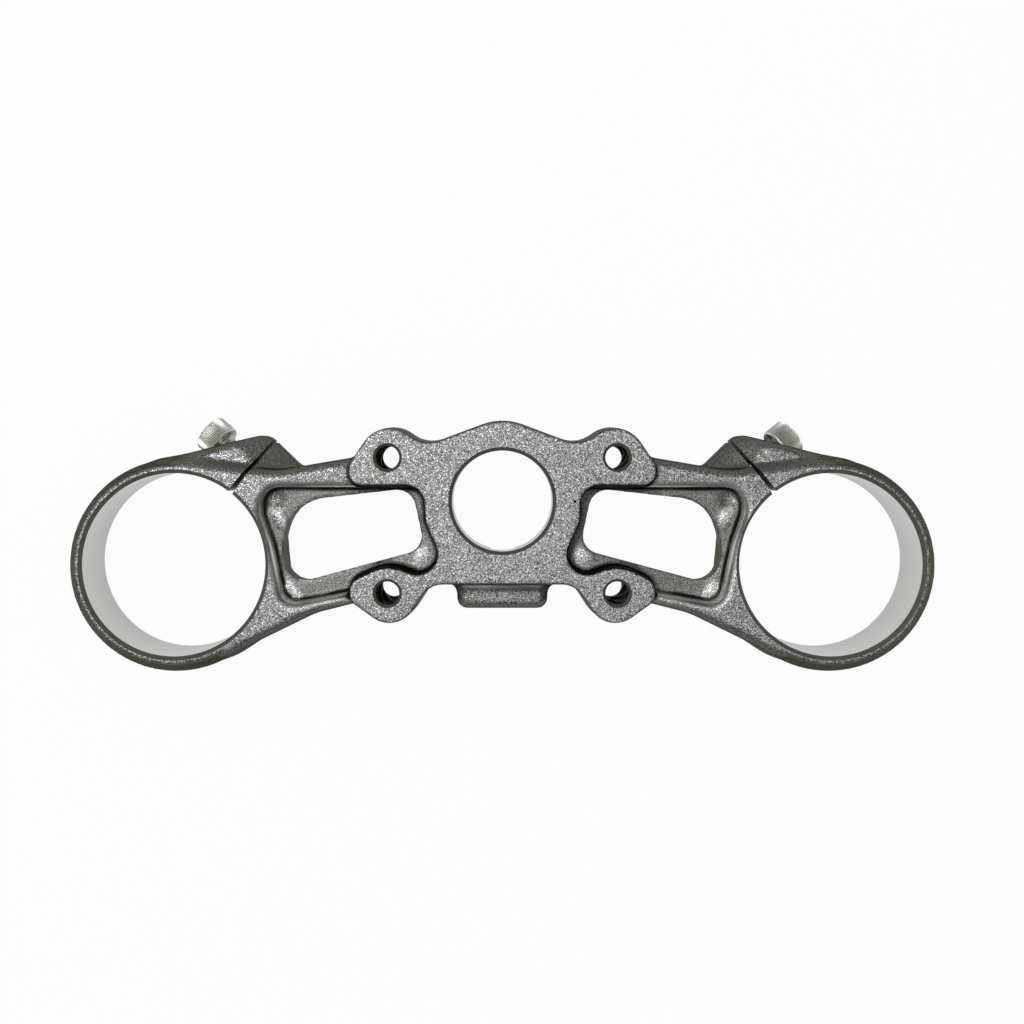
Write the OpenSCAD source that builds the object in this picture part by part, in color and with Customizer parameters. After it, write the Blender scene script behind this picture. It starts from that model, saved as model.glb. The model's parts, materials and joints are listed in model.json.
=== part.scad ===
// Motorcycle triple clamp: one cast yoke with two loosely fitted pinch bolts.
// The origin is the middle of the stem bore, whose axis is the Z axis. The forks
// stand at +X and -X, and the pinch ears face the rear, +Y.
// Heights in this file count from the underside of the fork rings, and the
// finished pieces are lowered to the origin together.

/* [Fork clamps] */
// Distance between the two fork axes
fork_spacing = 190; // [186:1:196]
// Distance of the fork axes in front of the stem axis
fork_offset = 18.5; // [17:0.5:20]
// Bore for the fork tube
fork_bore_d = 53; // [51:0.5:54]
// Wall of the ring around the fork tube
ring_wall = 4.2; // [3.8:0.1:5.5]
// Height of the fork rings
ring_h = 26; // [25:0.5:30]
// Width of the rounding at the top and bottom rim of the ring
rim_roll_w = 2.4; // [1:0.1:2.6]
// Height of the rounding at the top and bottom rim of the ring
rim_roll_h = 4; // [2:0.5:5]
// Chamfer at each end of the fork bore
bore_chamfer = 1; // [0.5:0.1:1.3]

/* [Centre plate] */
// Height of the plate's top face above the ring's top face
plate_rise = 2.5; // [1.5:0.5:4]
// Thickness of the plate around the stem bore
plate_t = 14; // [11:0.5:16]
// Rounding of the plate's top edge
plate_roll = 0.9; // [0.5:0.1:1.2]
// Bore for the steering stem
stem_bore_d = 29; // [26:0.5:31]
// Chamfer at each end of the stem bore
stem_chamfer = 0.9; // [0.4:0.1:1.2]
// Width of the small key notch at the stem bore's lower rim
notch_w = 5.4; // [3:0.2:7]
// Depth of the small key notch
notch_depth = 0.6; // [0.3:0.1:1]
// Height of the small key notch
notch_h = 3; // [2:0.5:5]

/* [Riser holes] */
// Distance between the left and right riser holes
riser_spacing_x = 66; // [64:0.5:68]
// Distance between the rear and front riser holes
riser_spacing_y = 39; // [37:0.5:41]
// Place of the rear riser holes behind the stem axis
riser_rear_y = 12.5; // [11.5:0.5:13.5]
// Core diameter of the riser thread
riser_hole_d = 6.8; // [6:0.1:8]
// Countersink diameter of the riser holes
riser_sink_d = 9.2; // [8.6:0.1:10]
// Outer diameter of the boss below each riser hole
riser_boss_d = 15; // [13:0.5:16]

/* [Arms] */
// Height of the arm's underside above the ring's underside
arm_z = 6.5; // [4:0.5:8]
// Height of the ledge around the window above the ring's underside
ledge_z = 19; // [17:0.5:21]
// Rounding of the arm's outer edges
arm_roll = 3.4; // [2:0.2:3.6]
// Rounding of the edge between the arm's rim and its pocket
pocket_roll = 1.2; // [0.6:0.1:1.4]
// Fillet between the pocket wall and the ledge
pocket_fillet = 1.4; // [0.6:0.1:2]

/* [Front lug] */
// Width of the lug on the plate's front edge
lug_w = 26.4; // [22:0.2:28]
// Distance from the stem axis to the lug's front face
lug_reach = 31.3; // [29:0.1:33]
// Height of the lug's top face above the ring's underside
lug_z = 22; // [20:0.5:24]
// Height of the lug
lug_h = 13; // [10:0.5:14]
// Rounding of the lug's corners
lug_r = 2.6; // [2.2:0.1:4]

/* [Pinch ears] */
// Direction of the split, from the X axis
split_angle = 52; // [51:0.5:53]
// Width of the split
split_w = 0.8; // [0.6:0.1:1.6]
// Distance from the fork bore to the pinch bolt's axis, along the split
bolt_reach = 8.4; // [8.2:0.2:9.2]
// Half width of the ear, from the pinch bolt's axis to its outer side
ear_half_w = 9.3; // [8.8:0.1:9.8]
// Height of the ear's top above the ring's underside
ear_top_z = 23; // [22:0.5:24]
// Rounding of the ear's edges
ear_roll = 5; // [3.5:0.5:5.5]
// Thickness of the outer ear, from the split to the bolt's seat
outer_ear_t = 6.6; // [6:0.2:7.4]
// Diameter of the milled seat for the bolt head
seat_d = 12.6; // [11.6:0.2:13]

/* [Pinch bolts] */
// Diameter of the bolt's shank
bolt_d = 6; // [5:0.5:6]
// Length of the shank below the head
bolt_len = 16; // [14:1:18]
// Slope of the bolts, with their heads lower than their tips
bolt_tilt = 12; // [9:1:14]
// Diameter of the knurled head
head_d = 10.2; // [9.4:0.1:10.6]
// Height of the head
head_h = 6; // [5:0.5:7]
// Width of the hexagon socket across its flats
socket_w = 5; // [4:0.5:5]
// Depth of the hexagon socket
socket_depth = 3; // [2:0.5:4]
// Chamfer at the head's two ends
head_chamfer = 0.6; // [0.3:0.1:0.9]
// Number of teeth of the knurl
knurl_teeth = 54; // [32:2:56]
// Depth of the knurl
knurl_depth = 0.16; // [0.1:0.02:0.3]
// Distance that the left bolt is backed out of its seat
left_backed_out = 5; // [3.5:0.5:7]
// Distance that the right bolt is backed out of its seat
right_backed_out = 4; // [3.5:0.1:7]
// Clearance of the bolt's plain hole in the outer ear
bolt_clearance = 0.6; // [0.3:0.1:1]
// Clearance modelled around the shank in the threaded inner ear
thread_clearance = 0.1; // [0.05:0.05:0.3]

/* [Hidden] */
$fn = 96;

cast_grey = [0.47, 0.48, 0.47];
screw_grey = [0.62, 0.61, 0.57];

// Overlap of cutters past the faces they cut
past = 1;
// Overlap of an edge band with the core of its body
lap = 0.6;
// Steps along each rounded corner and across each rounded edge
corner_steps = 5;
roll_steps = 4;

bore_r = fork_bore_d / 2;
ring_r = bore_r + ring_wall;
fork_x = fork_spacing / 2;
fork_y = -fork_offset;
top_z = ring_h + plate_rise;
plate_z = top_z - plate_t;
origin_z = top_z - plate_t / 2;

// Left pinch bolt: n_dir is the direction of the split, away from the fork axis,
// and a_dir that of the bolt from its head to its tip. They cross at bolt_cross.
bolt_z = ring_h / 2;
n_dir = [cos(split_angle), sin(split_angle)];
a_dir = [sin(split_angle), -cos(split_angle)];
bolt_cross = [-fork_x, fork_y] + (bore_r + bolt_reach) * n_dir;

function reflect(list) = [for (i = [len(list) - 1 : -1 : 0]) [-list[i].x, list[i].y, list[i][2]]];

// Outlines: each row is a corner [x, y, rounding], counterclockwise from above.
ring_side = -fork_x;

// Raised centre plate, left half from the rear hump to the front edge
riser_front_y = riser_rear_y - riser_spacing_y;
riser_x = riser_spacing_x / 2;
plate_half = [
    [-21.4, 15.2, 10],
    [-riser_x - 1.3, riser_rear_y + 12, 8.6],
    [-riser_x - 11.2, riser_rear_y - 2.2, 4],
    [-riser_x - 11.2, riser_rear_y - 8.1, 3.8],
    [-22.6, 4.6, 5.5],
    [-22.3, -5.8, 6],
    [-13.4, -25.8, 5.8],
    [-riser_x - 0.1, riser_front_y + 8.3, 11],
    [-riser_x - 11.1, riser_front_y + 3.2, 4.5],
    [-riser_x - 11.1, riser_front_y - 2.3, 4],
    [-riser_x + 3, riser_front_y - 12.3, 8],
    [-20.9, -23.9, 5.5]];
plate_corners = concat([[0, 24, 15]], plate_half, reflect(plate_half));

// Arm from the left ring to the middle of the plate
arm_corners = [
    [ring_side - 1, fork_y + ring_r - 0.2, 6],
    [ring_side - 12, fork_y, 12],
    [ring_side + 13.2, fork_y - ring_r + 3, 6],
    [ring_side + ring_r + 10.3, fork_y - ring_r / 2 + 1.25, 25],
    [-38, -28.6, 12],
    [-16, -20, 6],
    [-16, 12.3, 6],
    [-42, 12.3, 14],
    [ring_side + ring_r - 0.7, fork_y + ring_r - 3.8, 25]];

// Pocket above the ledge, open towards the plate
pocket_corners = [
    [ring_side + ring_r - 5.6, fork_y + ring_r / 2 - 0.85, 6],
    [ring_side + ring_r - 2.7, fork_y + 6.5, 20],
    [ring_side + ring_r + 1.1, fork_y - ring_r / 2 + 3.75, 4],
    [-15, -21, 5],
    [-15, 3.8, 5],
    [ring_side + ring_r - 5.5, 3.8, 5.5]];

// Window through the ledge
window_corners = [
    [ring_side + ring_r - 1.1, fork_y + 6.9, 9],
    [ring_side + ring_r + 1.5, fork_y - 6.5, 5.5],
    [-25.3, -17.8, 3.5],
    [-23.6, -12.2, 5],
    [-26.6, 3.8, 4.5],
    [ring_side + ring_r + 1.1, fork_y + ring_r / 2 + 2.95, 9.5]];

// Recess below the plate, inside its rim
recess_half = [
    [-18.5, 15.5, 6],
    [-16, -19.5, 6]];
recess_corners = concat(recess_half, reflect(recess_half));

// Ear, from the ring's tangent to the bolt's outer side and into the arm
ear_side = bolt_cross + ear_half_w * n_dir;
ear_corner_r = ear_roll + 1;
ear_corners = [
    [ring_side - 13, fork_y + 11, ear_corner_r],
    [ring_side + 12, fork_y + 12, ear_corner_r],
    [ear_side.x + 4, fork_y + 18, ear_corner_r],
    [ear_side.x + 13 * a_dir.x, ear_side.y + 13 * a_dir.y, ear_corner_r],
    [ear_side.x - 5.3 * a_dir.x, ear_side.y - 5.3 * a_dir.y, ear_corner_r],
    [ring_side - 8, fork_y + 28.5, ear_corner_r]];

lug_corners = [
    [-lug_w / 2, -15, lug_r],
    [-lug_w / 2, -lug_reach, lug_r],
    [lug_w / 2, -lug_reach, lug_r],
    [lug_w / 2, -15, lug_r]];

// Corner i of an outline as [centre, rounding, first angle, turn]
function corner(list, i) =
    let (count = len(list),
         before = list[(i + count - 1) % count],
         here = list[i],
         after = list[(i + 1) % count],
         u = [here.x - before.x, here.y - before.y],
         v = [after.x - here.x, after.y - here.y],
         u1 = u / norm(u),
         v1 = v / norm(v),
         turn = atan2(u1.x * v1.y - u1.y * v1.x, u1 * v1),
         inward = (v1 - u1) / norm(v1 - u1),
         centre = [here.x, here.y] + inward * here[2] / cos(turn / 2))
    [centre, here[2], atan2(u1.y, u1.x) - sign(turn) * 90, turn];

// The rounded outline, moved inwards by inset
function rounded(list, inset = 0) = [
    for (i = [0 : len(list) - 1])
        let (c = corner(list, i))
        for (k = [0 : corner_steps])
            let (angle = c[2] + c[3] * k / corner_steps)
            c[0] + (c[1] - sign(c[3]) * inset) * [cos(angle), sin(angle)]];

// Quarter round from [0, z0] to [w, z0 + h], as [inset, z] points
function roll_points(z0, w, h, steps = roll_steps) = [
    for (k = [0 : steps])
        let (angle = 90 * k / steps)
        [w * (1 - cos(angle)), z0 + h * sin(angle)]];

function reversed(list) = [for (i = [len(list) - 1 : -1 : 0]) list[i]];

// Edge profile of a body with rounded lower and upper edges
function round_edges(z0, z1, lower, upper) = concat(
    reversed([for (p = roll_points(0, lower, lower, 2)) [p[0], z0 + lower - p[1]]]),
    roll_points(z1 - upper, upper, upper));

// Band that carries the closed section, a list of [inset, z] points,
// once around the outline
module band(list, section) {
    rings = [for (p = section) [for (q = rounded(list, p[0])) [q.x, q.y, p[1]]]];
    across = len(section);
    around = len(rings[0]);
    points = [for (ring = rings) each ring];
    faces = [
        for (j = [0 : across - 1])
            for (i = [0 : around - 1])
                [j * around + i,
                 ((j + 1) % across) * around + i,
                 ((j + 1) % across) * around + (i + 1) % around,
                 j * around + (i + 1) % around]];
    polyhedron(points, faces);
}

// Solid body with the outline list and an edge profile from its lowest
// to its highest point
module moulded(list, profile) {
    deepest = max([for (p = profile) p[0]]);
    z0 = profile[0][1];
    z1 = profile[len(profile) - 1][1];
    translate([0, 0, z0])
        linear_extrude(z1 - z0)
            polygon(rounded(list, deepest));
    band(list, concat(profile, [[deepest + lap, z1], [deepest + lap, z0]]));
}

module both_sides() {
    children();
    mirror([1, 0, 0]) children();
}

// Lowers its children so that the middle of the stem bore is the origin
module from_origin() {
    translate([0, 0, -origin_z])
        children();
}

// Places its children on the left pinch bolt's axis: +Z runs from the head
// to the tip and z = 0 is the middle of the split
module on_bolt_axis() {
    translate([bolt_cross.x, bolt_cross.y, bolt_z])
        rotate([0, 90 - bolt_tilt, split_angle - 90])
            children();
}

// Sleeve around one fork tube, with rolled outer rims
module ring_sleeve() {
    upper = roll_points(ring_h - rim_roll_h, rim_roll_w, rim_roll_h, 8);
    lower = [for (p = reversed(upper)) [p[0], ring_h - p[1]]];
    outside = [for (p = concat(lower, upper)) [ring_r - p[0], p[1]]];
    inner = bore_r - lap;
    translate([-fork_x, fork_y, 0])
        rotate_extrude()
            polygon(concat([[inner, ring_h], [inner, 0]], outside));
}

module pocket() {
    fillet = [for (p = reversed(roll_points(0, pocket_fillet, pocket_fillet, 3)))
        [p[0], ledge_z + pocket_fillet - p[1]]];
    wall = [for (p = roll_points(0, pocket_roll, pocket_roll, 3))
        [-p[0], ring_h - pocket_roll + p[1]]];
    profile = concat(fillet, wall);
    deepest = pocket_fillet;
    outermost = profile[len(profile) - 1];
    translate([0, 0, ledge_z])
        linear_extrude(top_z)
            polygon(rounded(pocket_corners, deepest));
    band(pocket_corners, concat(profile, [
        [outermost[0], ring_h + past],
        [deepest + lap, ring_h + past],
        [deepest + lap, ledge_z]]));
}

module arm() {
    moulded(arm_corners, round_edges(arm_z, ring_h, arm_roll / 2, arm_roll));
}

module ear() {
    moulded(ear_corners, round_edges(ring_h - ear_top_z, ear_top_z, ear_roll, ear_roll));
}

module centre_plate() {
    moulded(plate_corners, round_edges(arm_z, top_z, plate_roll, plate_roll));
    both_sides()
        for (y = [riser_rear_y, riser_front_y])
            translate([-riser_x, y, 0])
                cylinder(h = plate_z, d = riser_boss_d);
}

module front_lug() {
    moulded(lug_corners, round_edges(lug_z - lug_h, lug_z, lug_r / 2, lug_r / 2));
}

module fork_bore() {
    translate([-fork_x, fork_y, 0]) {
        translate([0, 0, -past])
            cylinder(h = ring_h + 2 * past, r = bore_r);
        for (side = [0, 1])
            translate([0, 0, side * ring_h])
                mirror([0, 0, side])
                    translate([0, 0, -past])
                        cylinder(h = past + bore_chamfer,
                                 r1 = bore_r + bore_chamfer + past, r2 = bore_r);
    }
}

module stem_bore() {
    stem_r = stem_bore_d / 2;
    translate([0, 0, plate_z - past])
        cylinder(h = plate_t + 2 * past, r = stem_r);
    translate([0, 0, top_z - stem_chamfer])
        cylinder(h = past + stem_chamfer, r1 = stem_r, r2 = stem_r + stem_chamfer + past);
    translate([0, 0, plate_z - past])
        cylinder(h = past + stem_chamfer, r1 = stem_r + stem_chamfer + past, r2 = stem_r);
    translate([-notch_w / 2, -stem_r - notch_depth, plate_z - past])
        cube([notch_w, stem_r, notch_h + past]);
}

module riser_hole() {
    sink = (riser_sink_d - riser_hole_d) / 2;
    translate([0, 0, -past])
        cylinder(h = top_z + 2 * past, d = riser_hole_d);
    translate([0, 0, top_z - sink])
        cylinder(h = sink + past, d1 = riser_hole_d, d2 = riser_sink_d + 2 * past);
}

module split() {
    translate([-fork_x, fork_y, -past])
        rotate([0, 0, split_angle])
            translate([bore_r / 2, -split_w / 2, 0])
                cube([bore_r / 2 + bolt_reach + 2 * ear_half_w, split_w, ring_h + 2 * past]);
}

// Milled seat, plain hole and thread core along one pinch bolt
module bolt_way() {
    seat_reach = 40;
    thread_end = bolt_len - outer_ear_t;
    on_bolt_axis() {
        translate([0, 0, -seat_reach])
            cylinder(h = seat_reach - outer_ear_t, d = seat_d);
        translate([0, 0, -outer_ear_t - past])
            cylinder(h = outer_ear_t + past, d = bolt_d + bolt_clearance);
        cylinder(h = thread_end, d = bolt_d + thread_clearance);
    }
}

module yoke() {
    color(cast_grey) from_origin()
        difference() {
            union() {
                both_sides() {
                    ring_sleeve();
                    difference() {
                        union() {
                            arm();
                            ear();
                        }
                        pocket();
                    }
                }
                centre_plate();
                front_lug();
            }
            both_sides() {
                fork_bore();
                translate([0, 0, -past])
                    linear_extrude(top_z + 2 * past)
                        polygon(rounded(window_corners));
                split();
                bolt_way();
                for (y = [riser_rear_y, riser_front_y])
                    translate([-riser_x, y, 0])
                        riser_hole();
            }
            translate([0, 0, -past])
                linear_extrude(plate_z + past)
                    polygon(rounded(recess_corners));
            stem_bore();
        }
}

// Head below z = 0: a knurled band on a round body with chamfered ends
module knurled_head() {
    crest_r = head_d / 2;
    root_r = crest_r - knurl_depth;
    body_r = root_r - knurl_depth / 2;
    step = 180 / knurl_teeth;
    band_z0 = head_chamfer - head_h;
    band_z1 = -head_chamfer / 2;
    translate([0, 0, band_z0])
        linear_extrude(band_z1 - band_z0)
            polygon([for (i = [0 : 2 * knurl_teeth - 1])
                let (r = i % 2 == 0 ? crest_r : root_r)
                r * [cos(i * step), sin(i * step)]]);
    rotate_extrude()
        polygon([[0, -head_h], [body_r - head_chamfer, -head_h], [body_r, band_z0],
                 [body_r, band_z1], [body_r + band_z1, 0], [0, 0]]);
}

// Socket-head bolt along +Z, with the head's underside at z = 0
module bolt() {
    color(screw_grey)
        difference() {
            union() {
                knurled_head();
                translate([0, 0, -lap])
                    cylinder(h = bolt_len + lap - bolt_d / 8, d = bolt_d);
                translate([0, 0, bolt_len - bolt_d / 8])
                    cylinder(h = bolt_d / 8, d1 = bolt_d, d2 = bolt_d * 3 / 4);
            }
            translate([0, 0, -head_h - past])
                cylinder(h = socket_depth + past, d = socket_w / cos(30), $fn = 6);
        }
}

module seated_bolt(backed_out) {
    from_origin()
        on_bolt_axis()
            translate([0, 0, -outer_ear_t - backed_out])
                bolt();
}

module pinch_bolt_left() {
    seated_bolt(left_backed_out);
}

module pinch_bolt_right() {
    mirror([1, 0, 0])
        seated_bolt(right_backed_out);
}

yoke();
pinch_bolt_left();
pinch_bolt_right();
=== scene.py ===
"""Dresses a motorcycle triple clamp: a cast fork yoke with its machined bores, and two knurled pinch bolts."""

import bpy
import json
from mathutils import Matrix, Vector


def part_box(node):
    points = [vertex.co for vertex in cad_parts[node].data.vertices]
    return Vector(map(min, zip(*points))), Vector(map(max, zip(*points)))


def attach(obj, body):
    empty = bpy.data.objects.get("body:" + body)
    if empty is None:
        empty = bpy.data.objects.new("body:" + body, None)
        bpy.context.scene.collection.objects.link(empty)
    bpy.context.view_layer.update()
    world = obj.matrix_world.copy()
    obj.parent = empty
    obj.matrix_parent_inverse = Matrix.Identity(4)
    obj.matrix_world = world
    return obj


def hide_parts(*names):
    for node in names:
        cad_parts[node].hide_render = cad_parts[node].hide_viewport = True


bl_info = {
    "name": "Triple Clamp",
    "version": (1, 0, 0),
    "blender": (4, 5, 0),
    "location": "View3D > Sidebar > Triple Clamp",
    "description": "A cast motorcycle fork yoke with its pinch bolts, bores and studio",
    "category": "Add Mesh",
}

import json
import math

import bpy
import numpy as np
from bpy.props import FloatProperty, FloatVectorProperty, IntProperty, PointerProperty

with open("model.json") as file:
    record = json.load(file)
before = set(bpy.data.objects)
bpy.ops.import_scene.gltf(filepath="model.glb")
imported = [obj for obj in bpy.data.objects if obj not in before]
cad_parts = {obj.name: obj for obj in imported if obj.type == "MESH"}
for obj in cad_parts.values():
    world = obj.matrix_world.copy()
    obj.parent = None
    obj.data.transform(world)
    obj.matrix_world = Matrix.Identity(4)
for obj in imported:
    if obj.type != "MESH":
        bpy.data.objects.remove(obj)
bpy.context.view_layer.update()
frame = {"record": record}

# Shapes are worked out in millimetres from the stem axis and the underside of the
# fork rings, on the left side, and are mirrored to the right.
MM = 0.001
MOUNTS = {mount["name"]: mount for mount in frame["record"]["mounts"]}
FORK = MOUNTS["fork_clamp_right"]
RISERS = MOUNTS["riser_holes"]
BASE_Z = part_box("yoke")[0].z / MM
PLATE_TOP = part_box("yoke")[1].z / MM - BASE_Z
FORK_X = FORK["pos_m"][0] / MM
FORK_Y = FORK["pos_m"][1] / MM
BORE_R = FORK["dims"]["r_mm"]
STEM_R = MOUNTS["stem_bore"]["dims"]["r_mm"]
RISER_R = RISERS["dims"]["hole_r_mm"]
RISER_X = RISERS["dims"]["spacing_x_mm"] / 2
RISER_REAR_Y = RISERS["pos_m"][1] / MM + RISERS["dims"]["spacing_y_mm"] / 2
RISER_FRONT_Y = RISERS["pos_m"][1] / MM - RISERS["dims"]["spacing_y_mm"] / 2
RING_SIDE = -FORK_X

# Heights above the underside of the fork rings
RING_H = 26.0
ARM_FLOOR = 6.5
LEDGE_H = 19.0
PLATE_FLOOR = PLATE_TOP - 14.0
LUG_FLOOR = 9.0
LUG_TOP = 22.0
BOLT_H = RING_H / 2

# Split and pinch bolt on the left side: ALONG_SPLIT points away from the fork axis
# and ALONG_BOLT from the bolt's head to its tip
SPLIT_ANGLE = math.radians(52)
BOLT_TILT = math.radians(12)
BOLT_REACH = 8.4
EAR_HALF_W = 9.8
ALONG_SPLIT = np.array([math.cos(SPLIT_ANGLE), math.sin(SPLIT_ANGLE)])
ALONG_BOLT = np.array([math.sin(SPLIT_ANGLE), -math.cos(SPLIT_ANGLE)])
BOLT_CROSS = np.array([RING_SIDE, FORK_Y]) + (BORE_R + BOLT_REACH) * ALONG_SPLIT
EAR_SIDE = BOLT_CROSS + EAR_HALF_W * ALONG_SPLIT
EAR_ROOT = EAR_SIDE - 0.8 * ALONG_SPLIT + 13 * ALONG_BOLT
EAR_TIP = EAR_SIDE + 0.9 * ALONG_SPLIT - 3.3 * ALONG_BOLT

# Outlines: each row is a corner, x, y and its rounding
PLATE_LEFT = [
    (-22.5, 15.6, 10),
    (-RISER_X - 1.6, RISER_REAR_Y + 12, 8.6),
    (-RISER_X - 11.2, RISER_REAR_Y - 2.2, 4),
    (-RISER_X - 11.2, RISER_REAR_Y - 8.1, 3.8),
    (-22.6, 4.6, 5.5),
    (-22.3, -5.8, 6),
    (-13.4, -25.8, 5.8),
    (-RISER_X - 0.1, RISER_FRONT_Y + 8.3, 11),
    (-RISER_X - 11.1, RISER_FRONT_Y + 3.2, 4.5),
    (-RISER_X - 10.9, RISER_FRONT_Y - 2.1, 4),
    (-RISER_X + 2.7, RISER_FRONT_Y - 11.9, 8),
    (-20.9, -23.95, 7),
]
ARM = [
    (RING_SIDE - 1, FORK_Y + 30.5, 6),
    (RING_SIDE - 12, FORK_Y, 12),
    (RING_SIDE + 13.2, FORK_Y - 27.7, 6),
    (RING_SIDE + 41, FORK_Y - 14.1, 25),
    (-38, -28.6, 12),
    (-16, -20, 6),
    (-16, 12.8, 6),
    (-42, 12.8, 14),
    (RING_SIDE + 30, FORK_Y + 27.4, 25),
]
POCKET = [
    (RING_SIDE + 25.1, FORK_Y + 14.5, 6),
    (RING_SIDE + 28, FORK_Y + 6.5, 20),
    (RING_SIDE + 31.8, FORK_Y - 11.6, 4),
    (-15, -21, 5),
    (-15, 3.8, 5),
    (RING_SIDE + 25.2, 3.8, 5.5),
]
WINDOW = [
    (RING_SIDE + 30.3, FORK_Y + 4.5, 16),
    (RING_SIDE + 32.8, FORK_Y - 6.3, 6.2),
    (-22.8, -14.2, 5.2),
    (-26.6, 3.45, 5.5),
    (RING_SIDE + 34.4, FORK_Y + 18.2, 13),
]
RECESS_LEFT = [(-18.5, 15.5, 6), (-16, -19.5, 6)]
EAR = [
    (RING_SIDE - 13, FORK_Y + 11, 6),
    (RING_SIDE + 12, FORK_Y + 12, 6),
    (EAR_SIDE[0] + 4, FORK_Y + 18, 6),
    (EAR_ROOT[0], EAR_ROOT[1], 6),
    (EAR_TIP[0], EAR_TIP[1], 4.5),
    (RING_SIDE - 8, FORK_Y + 29.5, 6),
]
LUG = [(-13.2, -15, 3), (-13.2, -31.6, 3), (13.2, -31.6, 3), (13.2, -15, 3)]
DRAFT = math.tan(math.radians(2))
WINDOW_DRAFT = math.tan(math.radians(3.7))

# Swellings of the pocket's floor at the window's corners: x, y, half length, half width,
# direction of the length in degrees and height
SWELLINGS = [
    (RING_SIDE + 29.3, FORK_Y + 14.4, 4.0, 1.5, -65, 0.6),
    (RING_SIDE + 33.8, FORK_Y - 8.0, 3.2, 1.6, -50, 0.6),
    (-23.6, -16.8, 3.0, 2.4, 60, 0.6),
]

# Places of a piece's materials
COAT, BARE, CHAMFER, DARK = range(4)


def length(name, description, default_mm, decimals=4):
    """A size in millimetres as a property that the sidebar shows."""
    return FloatProperty(
        name=name, description=description, default=default_mm * MM, unit="LENGTH", precision=decimals
    )


def tint(name, description, default):
    """A colour as a property that the sidebar shows."""
    return FloatVectorProperty(
        name=name, description=description, default=default, subtype="COLOR", min=0, max=1
    )


class CastingSizes(bpy.types.PropertyGroup):
    cell: length("Cell", "Edge of the cells that the casting's surface is found in", 0.75)
    ring_wall: length("Ring wall", "Mean wall of the ring round the fork tube", 4.55)
    rim_wall: length("Rim wall", "Wall of the ring at its rim, round the fork tube", 2.2)
    ring_offset: length("Ring offset", "Shift of the ring's outside from the bore, outwards and forwards", 0.42)
    rim_round: length("Rim rounding", "Rounding of the rings' upper edges", 0.6)
    arm_round: length("Arm rounding", "Rounding of the arms' upper edges", 3.1)
    ear_top: length("Ear height", "Height of the pinch ear's crest above the ring's underside", 23)
    ear_round: length("Ear rounding", "Rounding of the pinch ear's edges", 3.0)
    ear_fillet: length("Ear fillet", "Fillet between the pinch ear and the ring", 2)
    ear_drop: length("Ear drop", "Fall of the ear's top over 10 mm, past its crest towards the arm", 6.0)
    pocket_round: length("Pocket edge", "Rounding of the pocket's upper edge", 2.4)
    floor_fillet: length("Pocket floor", "Fillet round the pocket's floor", 0.9)
    window_round: length("Window edge", "Rounding of the ledge towards the window", 0.5)
    dimple: length("Dimple", "Radius of the dimple in the pocket's outer rear corner", 3.4)
    plate_round: length("Plate edge", "Rounding of the plate's upper edge", 0.5)
    plate_fillet: length("Plate fillet", "Fillet below the plate's side", 0.9)
    lug_round: length("Lug edge", "Rounding of the front lug's edges", 3)


class MachiningSizes(bpy.types.PropertyGroup):
    bore_chamfer: length("Fork bore chamfer", "Chamfer at both ends of the fork bores", 1.1)
    stem_chamfer: length("Stem bore chamfer", "Chamfer at both ends of the stem bore", 1.0)
    split_inner_w: length("Split at the bore", "Width of the saw cut where it meets the fork bore", 1.5)
    split_outer_w: length("Split at the ear", "Width of the saw cut at the ear's outer side", 0.9)
    seat_r: length("Bolt seat radius", "Radius of the milled seat below each bolt head", 6.5)
    ear_wall: length("Outer ear", "Thickness of the outer ear between the split and the seat", 6.6)
    bolt_hole_r: length("Bolt hole radius", "Radius of the plain hole in the outer ear", 3.3)
    riser_pitch: length("Riser thread pitch", "Pitch of the thread in the riser holes", 1.25)
    riser_depth: length("Riser thread depth", "Depth of the thread in the riser holes", 0.6)
    riser_sink: length("Riser countersink", "Radius of the countersink of the riser holes", 4.2)


class BoltSizes(bpy.types.PropertyGroup):
    head_r: length("Head radius", "Radius over the knurl of the head", 5.5)
    head_h: length("Head height", "Height of the head", 6.3)
    teeth: IntProperty(name="Knurl teeth", description="Number of teeth round the head", default=60)
    knurl_depth: length("Knurl depth", "Depth of the knurl", 0.38)
    socket_w: length("Socket", "Width of the hexagon socket across its flats", 5)
    socket_depth: length("Socket depth", "Depth of the hexagon socket", 3)
    shank_r: length("Shank radius", "Outer radius of the thread", 3)
    shank_length: length("Shank length", "Length below the head", 16)
    pitch: length("Pitch", "Pitch of the thread", 1)
    thread_depth: length("Thread depth", "Depth of the thread", 0.55)
    left_backed_out: length("Left backed out", "Gap between the left head and its seat", 5.8)
    right_backed_out: length("Right backed out", "Gap between the right head and its seat", 4)


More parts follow.
